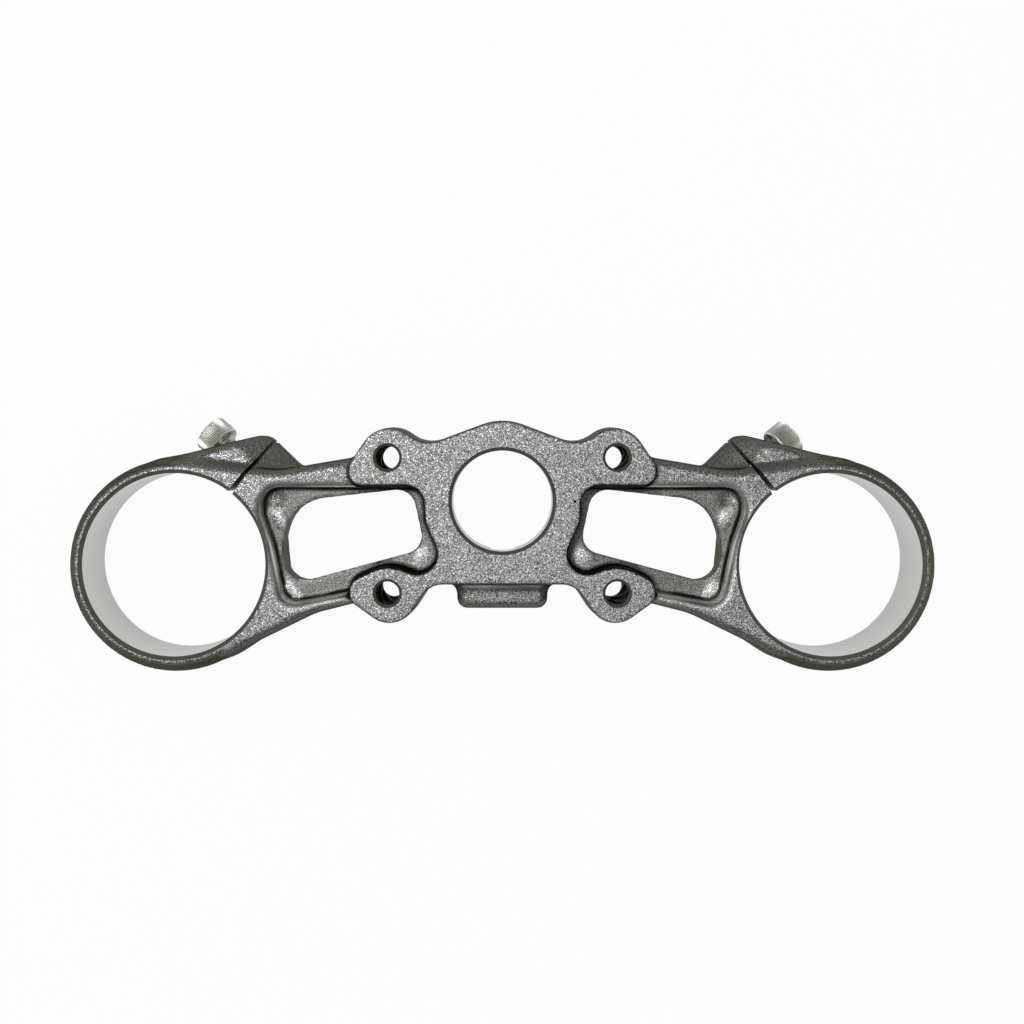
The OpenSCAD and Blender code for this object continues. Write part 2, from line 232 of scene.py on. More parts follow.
class Finishes(bpy.types.PropertyGroup):
    # The coat's colours for tops, slopes and sides are lit and shaded copies of one coat: a painted highlight on the
    # faces that look up, painted shade on the rolled edges and steep walls.
    coat_lit_top: tint("Coat", "Grainy coat on the faces that look up", (0.44, 0.44, 0.44))
    coat_half_lit: tint("Coat on slopes", "Grainy coat on the rolled edges", (0.20, 0.204, 0.182))
    coat_shaded_side: tint("Coat on the sides", "Grainy coat on the steep walls", (0.085, 0.088, 0.072))
    # Pocket walls carry a painted reflection, near white; pocket floors carry painted shade.
    coat_pocket_wall_lit: tint("Coat on pocket walls", "Grainy coat on the walls of the pockets", (0.96, 0.96, 0.92))
    coat_pocket_floor_shaded: tint("Coat on pocket floors", "Grainy coat on the floors of the pockets", (0.25, 0.25, 0.24))
    # Painted shade: near black in tight corners, on the plate's sides and along the foot of the pocket's wall.
    coat_crease_shade: tint("Coat in hollows", "Grainy coat in the tight corners", (0.018, 0.018, 0.015))
    bare: tint("Bare metal", "Machined bore walls", (0.52, 0.52, 0.51))
    # The chamfers' colour is darker than the bores': painted shade.
    edge: tint("Chamfers", "Turned chamfers of the bores", (0.19, 0.19, 0.16))
    # Threads, saw cuts, bolt seats and the key notch are painted near black: painted shade for the deep shade inside
    # them.
    shade_in_holes: tint("Dull metal", "Threads, splits and seats", (0.09, 0.09, 0.078))
    zinc: tint("Bolts", "Plated steel of the bolts", (0.80, 0.80, 0.77))
    paper: tint("Background", "Floor and background", (1.0, 1.0, 1.0))


class Studio(bpy.types.PropertyGroup):
    height: length("Camera height", "Height of the camera above the rings' underside", 441)
    behind: length("Camera offset", "Distance of the camera behind the stem axis", 13.34)
    lamp_power: FloatProperty(name="Lamp", description="Power of the soft lamp in watts", default=6.2)
    fill: FloatProperty(name="Fill", description="Strength of the even light from all round", default=0.32)


def rounded(corners, steps=9):
    """Outline with an arc at each corner: the arc's centre lies on the corner's bisector, at
    rounding / cos(half the turn) from the corner, so that the arc touches both edges."""
    rows = np.array(corners, float)
    here, radius = rows[:, :2], rows[:, 2]
    inward_edge = here - np.roll(here, 1, axis=0)
    outward_edge = np.roll(here, -1, axis=0) - here
    u = inward_edge / np.linalg.norm(inward_edge, axis=1)[:, None]
    v = outward_edge / np.linalg.norm(outward_edge, axis=1)[:, None]
    turn = np.arctan2(u[:, 0] * v[:, 1] - u[:, 1] * v[:, 0], (u * v).sum(1))
    bisector = (v - u) / np.linalg.norm(v - u, axis=1)[:, None]
    centre = here + bisector * (radius / np.cos(turn / 2))[:, None]
    start = np.arctan2(u[:, 1], u[:, 0]) - np.sign(turn) * np.pi / 2
    angle = start[:, None] + turn[:, None] * np.linspace(0, 1, steps)
    arcs = np.stack([np.cos(angle), np.sin(angle)], axis=-1)
    return (centre[:, None] + radius[:, None, None] * arcs).reshape(-1, 2)


def with_mirror(corners):
    """Outline corners of the left half followed by their mirror images."""
    return list(corners) + [(-x, y, r) for x, y, r in reversed(corners)]


class Outline:
    """Distance to a closed outline, negative inside, kept on a fine grid and read between its points."""

    pitch = 0.4
    low = np.array([-134.0, -58.0])
    high = np.array([2.0, 34.0])

    def __init__(self, corners):
        points = rounded(corners)
        xs = np.arange(self.low[0], self.high[0] + self.pitch, self.pitch)
        ys = np.arange(self.low[1], self.high[1] + self.pitch, self.pitch)
        self.grid = np.stack([self.distance(np.full(ys.shape, x), ys, points) for x in xs])

    @staticmethod
    def distance(x, y, points):
        """The nearest point of each edge comes from projection, clipped to the edge. A point is inside
        where a ray towards +X crosses the outline an odd number of times."""
        start, end = points, np.roll(points, -1, axis=0)
        ex, ey = (end - start).T
        px, py = x[:, None] - start[:, 0], y[:, None] - start[:, 1]
        along = np.clip((px * ex + py * ey) / (ex**2 + ey**2), 0, 1)
        gap = np.hypot(px - along * ex, py - along * ey).min(1)
        spans = (start[:, 1] > y[:, None]) != (end[:, 1] > y[:, None])
        crossing = start[:, 0] + py * ex / np.where(ey == 0, 1, ey)
        inside = (spans & (x[:, None] < crossing)).sum(1) % 2 == 1
        return np.where(inside, -gap, gap)

    def __call__(self, x, y):
        """Bilinear reading of the grid."""
        gx = np.clip((x - self.low[0]) / self.pitch, 0, self.grid.shape[0] - 1.001)
        gy = np.clip((y - self.low[1]) / self.pitch, 0, self.grid.shape[1] - 1.001)
        i, j = gx.astype(int), gy.astype(int)
        fx, fy = gx - i, gy - j
        near = self.grid[i, j] * (1 - fy) + self.grid[i, j + 1] * fy
        far = self.grid[i + 1, j] * (1 - fy) + self.grid[i + 1, j + 1] * fy
        return near * (1 - fx) + far * fx


def prism(flat, h, low, high, lower_round, upper_round):
    """Distance to an upright body of an outline from low to high: the outline's distance and the
    distance to the nearer end, each moved in by the rounding, meet in a quarter circle."""
    middle = (low + high) / 2
    r = np.where(h > middle, upper_round, lower_round)
    across = flat + r
    up = np.abs(h - middle) - (high - low) / 2 + r
    return np.minimum(np.maximum(across, up), 0) + np.hypot(np.maximum(across, 0), np.maximum(up, 0)) - r


def join(a, b, fillet):
    """Union of two distances with a fillet: the smaller one, lowered by fillet * w * (1 - w)
    where w runs from 0 to 1 as the two differ by less than the fillet."""
    w = np.clip(0.5 + 0.5 * (b - a) / fillet, 0, 1)
    return b + (a - b) * w - fillet * w * (1 - w)


def carve(a, b, edge_round):
    """What is left of a without b, with the new edge rounded."""
    return -join(-a, b, edge_round)


def ramp(h, start, end):
    """Runs smoothly from 0 at start to 1 at end."""
    t = np.clip((h - start) / (end - start), 0, 1)
    return t * t * (3 - 2 * t)


class CastingShape:
    """The casting as a field of distances: rings, arms, ears, plate and lug joined with fillets,
    less the pockets, windows and the recess."""

    def __init__(self, sizes):
        for key in sizes.bl_rna.properties.keys():
            if key not in ("rna_type", "name"):
                setattr(self, key, getattr(sizes, key) / MM)
        self.plate = Outline([(0, 24, 16.5)] + with_mirror(PLATE_LEFT))
        self.recess = Outline(with_mirror(RECESS_LEFT))
        self.arm, self.pocket, self.window = Outline(ARM), Outline(POCKET), Outline(WINDOW)
        self.ear, self.lug = Outline(EAR), Outline(LUG)

    def __call__(self, x, y, h):
        x = -np.abs(x)
        shift = self.ring_offset
        ring_flat = np.hypot(x - RING_SIDE + shift, y - FORK_Y + shift) - BORE_R - self.ring_wall
        rim_flat = np.hypot(x - RING_SIDE, y - FORK_Y) - BORE_R - self.rim_wall
        web_flat = join(rim_flat, self.arm(x, y), 4.5)
        lean = np.clip((h - RING_H) / 6 + 1, 0, 1)
        ring = prism(ring_flat + (rim_flat - ring_flat) * lean, h, 0, RING_H, 2.6, self.rim_round)
        web = prism(web_flat, h, ARM_FLOOR, RING_H, 1.7, self.arm_round)
        body = join(ring, web, 0.02 + 4 * (1 - ramp(h, 12, 20)))
        past = (x - BOLT_CROSS[0]) * 0.76 + (y - BOLT_CROSS[1]) * 0.65 - 1.8
        fall = self.ear_drop / 20 * (past + np.sqrt(past**2 + 1))
        half = self.ear_top - BOLT_H
        level = BOLT_H + (h - BOLT_H) * half / (half - np.minimum(fall, half / 2))
        ear = prism(self.ear(x, y), level, RING_H - self.ear_top, self.ear_top, self.ear_round, self.ear_round)
        body = join(body, ear, self.ear_fillet)
        pocket_flat = self.pocket(x, y) - (h - LEDGE_H) * DRAFT
        pocket = prism(pocket_flat, h - self.swell(x, y), LEDGE_H, RING_H + 30, self.floor_fillet, 0.1)
        body = carve(body, pocket, self.pocket_round)
        corner = np.sqrt((x - RING_SIDE - 28.4) ** 2 + (y - FORK_Y - 18.6) ** 2 + (h - LEDGE_H - 2.5) ** 2)
        body = carve(body, corner - self.dimple, 1.5)
        plate_flat = self.plate(x, y) - (PLATE_TOP - h) * DRAFT
        plate = prism(plate_flat, h, ARM_FLOOR, PLATE_TOP, 1.7, self.plate_round)
        body = join(body, plate, self.plate_fillet + 0.7 * (1 - ramp(h, LEDGE_H, LEDGE_H + 4)))
        for boss_y in (RISER_REAR_Y, RISER_FRONT_Y):
            boss = np.hypot(x + RISER_X, y - boss_y) - 7.5
            body = join(body, prism(boss, h, 0, PLATE_FLOOR + 4, 0.6, 0.6), 2.0)
        lug = prism(self.lug(x, y), h, LUG_FLOOR, LUG_TOP, self.lug_round, self.lug_round)
        body = join(body, lug, 3.8)
        window_flat = self.window(x, y) - np.clip(LEDGE_H - h, 0, LEDGE_H - ARM_FLOOR) * WINDOW_DRAFT
        body = carve(body, prism(window_flat, h, -20, RING_H + 30, 0.1, 0.1), self.window_round)
        recess_flat = self.recess(x, y) + h * DRAFT
        return carve(body, prism(recess_flat, h, -20, PLATE_FLOOR, 0.1, 2.5), 1.2)

    @staticmethod
    def swell(x, y):
        """Height of the pocket's floor over its level: for each swelling, its height times
        exp(-(along / half length)^2 - (across / half width)^2)."""
        total = 0
        for place_x, place_y, half_length, half_width, degrees, height in SWELLINGS:
            turn = math.radians(degrees)
            dx, dy = x - place_x, y - place_y
            along = (dx * math.cos(turn) + dy * math.sin(turn)) / half_length
            across = (dy * math.cos(turn) - dx * math.sin(turn)) / half_width
            total = total + height * np.exp(-(along**2) - across**2)
        return total

    def in_pocket(self, points):
        """1 on the pocket's floor and walls and on the lug's fillet, 0 elsewhere, also on the
        plate's sides."""
        x, y, h = -np.abs(points[:, 0]), points[:, 1], points[:, 2]
        pocket = (1 - ramp(self.pocket(x, y), 1.6, 3.0)) * ramp(h, LEDGE_H - 1, LEDGE_H)
        lug = (1 - ramp(self.lug(x, y), -2.5, -1.0)) * ramp(h, LUG_TOP + 0.2, LUG_TOP + 0.8)
        return np.maximum(pocket, lug) * ramp(self.plate(x, y), 0.3, 1.0)

    def on_plate_side(self, points):
        """1 on the plate's sides above the pocket's floor, 0 elsewhere."""
        x, y, h = -np.abs(points[:, 0]), points[:, 1], points[:, 2]
        near = 1 - ramp(np.abs(self.plate(x, y)), 0.5, 1.2)
        return near * ramp(h, LEDGE_H - 1, LEDGE_H + 1) * (1 - ramp(self.pocket(x, y), 1.0, 3.0))

    def on_pocket_foot(self, points):
        """1 along the line where the pocket's wall meets its floor, 0 elsewhere."""
        x, y, h = -np.abs(points[:, 0]), points[:, 1], points[:, 2]
        return 0.4 * (1 - ramp(np.hypot(self.pocket(x, y) + 0.25, h - LEDGE_H - 0.25), 0.3, 1.4))

    def slope(self, points):
        """Gradient of the field by central differences, which points out of the metal."""
        reach = 0.25
        columns = []
        for axis in range(3):
            offset = np.zeros(3)
            offset[axis] = reach
            ahead, behind = points + offset, points - offset
            columns.append((self(*ahead.T) - self(*behind.T)) / (2 * reach))
        return np.stack(columns, axis=1)

    def settle(self, points, rounds=3):
        """Points moved along the gradient until the field is zero."""
        for _ in range(rounds):
            slope = self.slope(points)
            points = points - slope * (self(*points.T) / np.maximum((slope**2).sum(1), 0.2))[:, None]
        return points

    def normals(self, points):
        slope = self.slope(points)
        return slope / np.maximum(np.linalg.norm(slope, axis=1), 1e-6)[:, None]

    def hollow(self, points, normals, steps):
        """How enclosed each point is, from 0 on open faces to 1 in tight corners: the part of a
        step along the normal by which the field falls short of the step."""
        shortfall = [1 - self(*(points + normals * step).T) / step for step in steps]
        return np.clip(np.mean(shortfall, axis=0), 0, 1)


def zero_surface(values, origin, step):
    """Surface where a field on a grid is zero: one point in each cell that the surface crosses, at the
    mean of its crossings of the cell's edges, and one four-sided face round each grid edge it crosses."""
    cells = np.array(values.shape) - 1
    cell_ids, crossings, faces = [], [], []
    for axis in range(3):
        low = values[tuple(slice(None, -1) if a == axis else slice(1, -1) for a in range(3))]
        high = values[tuple(slice(1, None) if a == axis else slice(1, -1) for a in range(3))]
        edge = np.argwhere((low < 0) != (high < 0))
        below, above = low[tuple(edge.T)], high[tuple(edge.T)]
        edge += np.where(np.arange(3) == axis, 0, 1)
        place = edge.astype(float)
        place[:, axis] += below / (below - above)
        first, second = np.eye(3, dtype=int)[[(axis + 1) % 3, (axis + 2) % 3]]
        around = [edge, edge - first, edge - first - second, edge - second]
        ids = np.stack([np.ravel_multi_index(corner.T, cells) for corner in around], axis=1)
        faces.append(np.where((below < 0)[:, None], ids, ids[:, ::-1]))
        cell_ids.append(ids.ravel())
        crossings.append(np.repeat(place, 4, axis=0))
    used, numbered = np.unique(np.concatenate(cell_ids), return_inverse=True)
    places = np.concatenate(crossings)
    count = np.bincount(numbered)
    mean = np.stack([np.bincount(numbered, places[:, a]) / count for a in range(3)], axis=1)
    faces = np.concatenate(faces)
    return mean * step + origin, np.searchsorted(used, faces)


def to_metres(points):
    """Heights above the rings' underside become the frame's heights, and millimetres metres."""
    return (np.asarray(points) + [0, 0, BASE_Z]) * MM


def make_object(name, points, faces, materials, marks=None):
    """Mesh object at the origin; marks give the place of each face's material."""
    mesh = bpy.data.meshes.new(name)
    mesh.from_pydata(points, [], faces)
    if marks is not None:
        mesh.polygons.foreach_set("material_index", np.asarray(marks, np.int32))
    mesh.update()
    for material in materials:
        mesh.materials.append(material)
    piece = bpy.data.objects.new(name, mesh)
    bpy.context.scene.collection.objects.link(piece)
    return piece


def smooth_with_edges(mesh, degrees=38):
    """Smooth shading that keeps every edge sharper than this angle."""
    mesh.polygons.foreach_set("use_smooth", np.ones(len(mesh.polygons), bool))
    mesh.set_sharp_from_angle(angle=math.radians(degrees))


def lathe(radius, height, count, marks=BARE):
    """Closed body of revolution: radius and height are given ring by ring from the lower end to the
    upper one, and a ring may have a radius for each of its count points. marks gives the material of
    all faces or of each band between two rings."""
    angle = np.arange(count) * 2 * np.pi / count
    height = np.asarray(height, float).reshape(len(height), -1)
    radius = np.asarray(radius, float).reshape(len(radius), -1)
    rings = np.stack(
        np.broadcast_arrays(radius * np.cos(angle), radius * np.sin(angle), height + 0 * angle), axis=-1
    )
    bands = np.broadcast_to(marks, len(rings) - 1)
    return rings.reshape(-1, 3), ring_faces(len(rings), count), [*np.repeat(bands, count), bands[0], bands[-1]]


def ring_faces(rings, count):
    """Faces between rings of count points, with a flat face at each end."""
    i, j = np.meshgrid(np.arange(rings - 1), np.arange(count), indexing="ij")
    ahead = (j + 1) % count
    quads = np.stack([i * count + j, i * count + ahead, (i + 1) * count + ahead, (i + 1) * count + j], axis=-1)
    first = np.arange(count)[::-1]
    last = (rings - 1) * count + np.arange(count)
    return quads.reshape(-1, 4).tolist() + [first.tolist(), last.tolist()]


def gather(bodies):
    """Several bodies that don't touch as one list of points, one of faces and one of marks."""
    points, faces, marks, offset = [], [], [], 0
    for body_points, body_faces, body_marks in bodies:
        points.append(body_points)
        faces += [[index + offset for index in face] for face in body_faces]
        marks += body_marks
        offset += len(body_points)
    return np.concatenate(points), faces, marks


def thread_wave(turns):
    """Profile of a thread over its turns: a triangle wave from 0 at the root to 1 at the crest, cut flat."""
    wave = 1 - 2 * np.abs(turns % 1 - 0.5)
    return np.clip(1.5 * wave - 0.25, 0, 1)


def fork_bore(side, sizes):
    """Cylinder of the fork tube with a cone at each end for the chamfers."""
    c, past = sizes.bore_chamfer / MM, 3
    points, faces, marks = lathe(
        [BORE_R + c + past, BORE_R, BORE_R, BORE_R + c + past],
        [-past, c, RING_H - c, RING_H + past],
        288,
        [CHAMFER, BARE, CHAMFER],
    )
    return points + [side * FORK_X, FORK_Y, 0], faces, marks


def stem_bore(sizes):
    """Cylinder of the stem with a cone at each end for the chamfers."""
    c, past = sizes.stem_chamfer / MM, 2
    return lathe(
        [STEM_R + c + past, STEM_R, STEM_R, STEM_R + c + past],
        [PLATE_FLOOR - past, PLATE_FLOOR + c, PLATE_TOP - c, PLATE_TOP + past],
        216,
        [CHAMFER, BARE, CHAMFER],
    )


def key_notch():
    """Notch at the stem bore's lower rim, on the front side, with a shallow step at each end."""
    height = 5.6
    steps = []
    for left, right, depth in ((-3.4, 3.6, 0.12), (-2.4, 1.9, 1.0)):
        low = np.array([left, -STEM_R - depth, PLATE_FLOOR - 1])
        steps.append(block(low, np.array([right, -STEM_R + 3, PLATE_FLOOR + height])))
    return steps


def block(low, high):
    """Box between two corners."""
    ring = np.array([(0, 0), (1, 0), (1, 1), (0, 1)])
    corners = [np.column_stack([low[:2] + (high - low)[:2] * ring, np.full(4, h)]) for h in (low[2], high[2])]
    return np.concatenate(corners), ring_faces(2, 4), [DARK] * 6


def riser_hole(side, y, sizes):
    """Threaded hole: its radius is the core's plus the thread's wave of height less a turn for each
    time round, and it widens to the countersink at the top and a small one at the bottom."""
    count, pitch = 40, sizes.riser_pitch / MM
    sink, past = sizes.riser_sink / MM, 2
    core = RISER_R
    low, high = 0.7, PLATE_TOP - (sink - core)
    rows = int((high - low) / pitch * 6)
    height = np.linspace(low, high, rows)[:, None]
    turn = np.arange(count) / count
    fade = ramp(height, low, low + pitch) * (1 - ramp(height, high - pitch, high))
    radius = core + sizes.riser_depth / MM * thread_wave(height / pitch - turn) * fade
    radius = np.concatenate([np.full((1, count), core + low + past), radius, np.full((1, count), sink + past)])
    height = np.concatenate([[[-past]], height, [[PLATE_TOP + past]]])
    marks = [DARK] * (len(height) - 2) + [CHAMFER]
    points, faces, marks = lathe(radius, height, count, marks)
    return points + [side * RISER_X, y, 0], faces, marks


def on_bolt_axis(points, side, tilt=BOLT_TILT):
    """Turns and moves points along Z onto a pinch bolt's axis: Z runs from head to tip and rises by the
    tilt, Y runs away from the fork axis, and zero is the middle of the split."""
    level = np.array([-side * ALONG_BOLT[0], ALONG_BOLT[1], 0])
    along = level * math.cos(tilt) + np.array([0, 0, math.sin(tilt)])
    outward = np.array([-side * ALONG_SPLIT[0], ALONG_SPLIT[1], 0])
    turn = np.stack([np.cross(outward, along), outward, along])
    return points @ turn + [-side * BOLT_CROSS[0], BOLT_CROSS[1], BOLT_H]


def bolt_way(side, sizes):
    """Milled seat outside the outer ear, then the plain hole, then the thread's core."""
    seat, hole, ear = sizes.seat_r / MM, sizes.bolt_hole_r / MM, sizes.ear_wall / MM
    points, faces, marks = lathe(
        [seat, seat, hole + 0.3, hole, hole, 3.05, 3.05],
        [-40, -ear, -ear + 0.001, -ear + 0.3, 0, 0.001, 9.4],
        96,
        DARK,
    )
    return on_bolt_axis(points, side), faces, marks


def split_cut(side, sizes):
    """Saw cut from inside the fork bore out through the ear, a little wider at the bore."""
    inner, outer = -BOLT_REACH - 6, 2.4 * EAR_HALF_W
    points, faces, marks = block(np.array([-RING_H, inner, -0.5]), np.array([RING_H, outer, 0.5]))
    taper = (sizes.split_outer_w - sizes.split_inner_w) / (EAR_HALF_W + BOLT_REACH)
    points[:, 2] *= (sizes.split_inner_w + taper * (points[:, 1] + BOLT_REACH)) / MM
    return on_bolt_axis(points, side, 0), faces, marks


def cut_away(piece, cutters):
    """Cuts each body in cutters out of the piece and leaves a plain mesh."""
    tools = []
    for number, (points, faces, marks) in enumerate(cutters):
        tool = make_object(f"cutter_{number}", to_metres(points), faces, piece.data.materials, marks)
        cut = piece.modifiers.new(tool.name, "BOOLEAN")
        cut.operation, cut.solver, cut.object = "DIFFERENCE", "MANIFOLD", tool
        tools.append(tool)
    graph = bpy.context.evaluated_depsgraph_get()
    mesh = bpy.data.meshes.new_from_object(piece.evaluated_get(graph), depsgraph=graph)
    piece.modifiers.clear()
    whole, piece.data = piece.data, mesh
    bpy.data.meshes.remove(whole)
    for tool in tools:
        shape = tool.data
        bpy.data.objects.remove(tool)
        bpy.data.meshes.remove(shape)


def mesh_points(mesh):
    points = np.empty(len(mesh.vertices) * 3, np.float32)
    mesh.vertices.foreach_get("co", points)
    return points.reshape(-1, 3).astype(float)


def store(mesh, name, values):
    """Keeps one number for each point of the mesh, for the shader to read."""
    mesh.attributes.new(name, "FLOAT", "POINT").data.foreach_set("value", values.astype(np.float32))


class Number:
    """A number in a shader. Arithmetic on it adds Math nodes."""

    def __init__(self, paint, socket):
        self.paint, self.socket = paint, socket

    def math(self, operation, a, b=0.0, c=0.0):
        node = self.paint.add("Math", {"operation": operation}, {0: a, 1: b, 2: c})
        return Number(self.paint, node.outputs[0])

    def __add__(self, other):
        return self.math("ADD", self, other)

    def __radd__(self, other):
        return self.math("ADD", other, self)

    def __sub__(self, other):
        return self.math("SUBTRACT", self, other)

    def __rsub__(self, other):
        return self.math("SUBTRACT", other, self)

    def __mul__(self, other):
        return self.math("MULTIPLY", self, other)

    def __rmul__(self, other):
        return self.math("MULTIPLY", other, self)

    def between(self, low, high):
        """0 at low, 1 at high, smooth between them."""
        node = self.paint.add(
            "MapRange", {"interpolation_type": "SMOOTHSTEP"}, {"Value": self, "From Min": low, "From Max": high}
        )
        return Number(self.paint, node.outputs[0])


class Paint:
    """A material's nodes: add() makes any node from its type, its settings and its sockets."""

    def __init__(self, name):
        self.material = bpy.data.materials.new(name)
        self.material.use_nodes = True
        self.tree = self.material.node_tree
        self.tree.nodes.clear()
        self.place = self.add("TexCoord").outputs["Object"]

    def add(self, kind, settings=None, sockets=None):
        node = self.tree.nodes.new("ShaderNode" + kind)
        for key, value in (settings or {}).items():
            setattr(node, key, value)
        for key, value in (sockets or {}).items():
            self.feed(node.inputs[key], value)
        return node

    def feed(self, socket, value):
        if isinstance(value, Number):
            value = value.socket
        if isinstance(value, bpy.types.NodeSocket):
            self.tree.links.new(value, socket)
        else:
            socket.default_value = value

    def noise(self, size_mm, detail=2.0, rough=0.5):
        """Noise whose features are about size_mm across."""
        node = self.add(
            "TexNoise", None,
            {"Vector": self.place, "Scale": 1 / (size_mm * MM), "Detail": detail, "Roughness": rough},
        )
        return Number(self, node.outputs[0])

    def flecks(self, size_mm):
        """A random number for each cell of about size_mm."""
        node = self.add("TexVoronoi", None, {"Vector": self.place, "Scale": 1 / (size_mm * MM)})
        split = self.add("SeparateColor", None, {0: node.outputs["Color"]})
        return Number(self, split.outputs[0])

    def kept(self, name):
        """A number that the mesh keeps at its points."""
        return Number(self, self.add("Attribute", {"attribute_name": name}).outputs["Fac"])

    def height(self):
        """The place's height in metres."""
        return Number(self, self.add("SeparateXYZ", None, {0: self.place}).outputs[2])

    def pit(self, place_mm, radius_mm):
        """0 in a small pit at a place, 1 outside it."""
        place = [c * MM for c in place_mm]
        node = self.add("VectorMath", {"operation": "DISTANCE"}, {0: self.place, 1: place})
        return Number(self, node.outputs["Value"]).between(radius_mm * MM * 0.5, radius_mm * MM * 1.2)

    def blend(self, factor, a, b):
        node = self.add("Mix", {"data_type": "RGBA"}, {0: factor, 6: opaque(a), 7: opaque(b)})
        return node.outputs[2]

    def scaled(self, colour, factor):
        node = self.add("VectorMath", {"operation": "SCALE"}, {0: colour, "Scale": factor})
        return node.outputs[0]

    def bump(self, height, depth_mm, strength=1.0):
        node = self.add("Bump", None, {"Height": height, "Distance": depth_mm * MM, "Strength": strength})
        return node.outputs[0]

    def shade(self, constants, **varying):
        """Ends the material in one Principled shader."""
        shader = self.add("BsdfPrincipled", None, constants)
        for key, value in varying.items():
            self.feed(shader.inputs[key.replace("_", " ")], value)
        self.add("OutputMaterial", None, {"Surface": shader.outputs[0]})
        return self.material


def opaque(colour):
    """A plain colour gets its alpha; a socket stays as it is."""
    return colour if isinstance(colour, bpy.types.NodeSocket) else (*colour, 1.0)


def cast_coat(finish):
    """Grainy metallic coat with painted light and shade: bright flecks and a painted highlight on the faces that look
    up, painted shade on steep walls and in hollows.
    """
    paint = Paint("cast_coat")
    flecks, grain = paint.flecks(0.36), paint.noise(0.42, 2, 0.6)
    cloud, hue = paint.noise(9, 2, 0.5), paint.noise(1.1, 2, 0.6)
    speck = flecks * 0.45 + grain.between(0.35, 0.65) * 0.55
    facing = paint.kept("facing") + speck * 0.05
    pocket, rubbed = paint.kept("pocket"), paint.kept("rubbed").between(0.06, 0.45)
    shade, wander = paint.kept("hollow").between(0.05, 0.6), paint.noise(11, 1, 0.5)
    crease = (paint.kept("crease") * (0.4 + wander * 1.1)).between(0.12, 0.42)
    # Strength of the grain: the grain is the coat's own, while its bright flecks on faces that look up are painted
    # glints; both are weaker in the pocket except on its swellings.
    grain_and_glint = (0.35 + facing.between(0.7, 1.0) * 0.65) * (1 - (pocket - rubbed * pocket) * 0.35)
    top = paint.blend(hue.between(0.35, 0.65), [c * w for c, w in zip(finish.coat_lit_top, (1, 1, 0.94))],
                      [c * w for c, w in zip(finish.coat_lit_top, (0.98, 1, 1.05))])
    # Painted light and shade: the coat gets lighter as its face turns upwards, from the shaded side colour through the
    # slope colour to the lit top colour.
    tone = paint.blend(facing.between(0.3, 0.97), finish.coat_shaded_side, finish.coat_half_lit)
    tone = paint.blend(facing.between(0.93, 1.03), tone, top)
    # In the pocket: a painted reflection on the steep walls, painted shade on the level floor, and a painted highlight
    # towards the rim's top, lighter than the coat on the tops.
    height = (paint.height() - (LEDGE_H + BASE_Z) * MM) * (1 / MM)
    level = facing.between(0.45, 0.97)
    level = level.math("MAXIMUM", level, 1 - height.between(0.2, 1.2))
    upper = paint.blend(height.between(1.5, 4.5), finish.coat_pocket_floor_shaded, [c * 1.15 for c in finish.coat_lit_top])
    tone = paint.blend(pocket, tone, paint.blend(level, finish.coat_pocket_wall_lit, upper))
    # Painted shade in hollows outside the pocket: the coat turns towards the shaded side colour where the surface is
    # enclosed.
    tone = paint.blend(shade * 0.3 * (1 - pocket), tone, finish.coat_shaded_side)
    # Painted highlight on the swellings of the pocket's floor.
    tone = paint.blend(rubbed, tone, [min(1, c * 2.1) for c in finish.coat_lit_top])
    # Painted shade: near black in creases, on the plate's sides and along the foot of the pocket's wall, where contact
    # shadow falls.
    tone = paint.blend(crease, tone, finish.coat_crease_shade)
    spots = 0.88 + ((speck - 0.5) * 1.5 + speck.between(0.55, 0.95) * 0.5) * grain_and_glint + (cloud - 0.5) * 0.15
    tone = paint.scaled(tone, paint.pit((20.8, -0.1, PLATE_TOP + BASE_Z), 0.5) * spots)
    rough = 0.3 + flecks * 0.2 + crease * 0.15
    return paint.shade(
        {"Metallic": 0.9, "Specular IOR Level": 0.5, "Specular Tint": (0.3, 0.3, 0.26, 1)},
        Base_Color=tone, Roughness=rough, Normal=paint.bump(speck * grain_and_glint, 0.12, 1.0),
    )


def bare_metal(finish):
    """Turned aluminium: fine rings along the bore's axis, a few pits, and painted shade that makes the walls darker
    towards their lower end.
    """
    paint = Paint("bare_metal")
    rings = paint.add(
        "TexWave", {"wave_type": "BANDS", "bands_direction": "Z"},
        {"Vector": paint.place, "Scale": 900.0, "Distortion": 1.5, "Detail": 1.0},
    )
    marks = Number(paint, rings.outputs["Fac"])
    cloud, pits = paint.noise(6, 2, 0.5), paint.noise(0.9, 1, 0.5)
    pit = pits.between(0.74, 0.8)
    tone = paint.blend(pit * 0.7, finish.bare, finish.coat_shaded_side)
    # Painted shade: the wall is darker towards its lower end.
    upward = paint.height().between(BASE_Z * MM, (BASE_Z + RING_H) * MM)
    tone = paint.scaled(tone, 0.76 + cloud * 0.16 + upward * 0.18)
    return paint.shade(
        {"Metallic": 1.0}, Base_Color=tone, Roughness=0.30 + marks * 0.06 + cloud * 0.08,
        Normal=paint.bump(marks, 0.004, 0.5),
    )


def turned_edge(finish):
    """Turned chamfers, darker than the bores: painted shade for the dark that the angled chamfers show."""
    return machined("turned_edge", finish.edge)


def dull_metal(finish):
    """Machined metal painted dark: painted shade in the threads, the saw cuts and the bolt seats, where deep shade
    falls.
    """
    return machined("dull_metal", finish.shade_in_holes)


def machined(name, colour):
    paint = Paint(name)
    cloud, grain = paint.noise(3, 2, 0.5), paint.noise(0.5, 2, 0.6)
    tone = paint.scaled(colour, 0.7 + grain * 0.35 + cloud * 0.25)
    return paint.shade({"Metallic": 0.9}, Base_Color=tone, Roughness=0.42 + grain * 0.12)


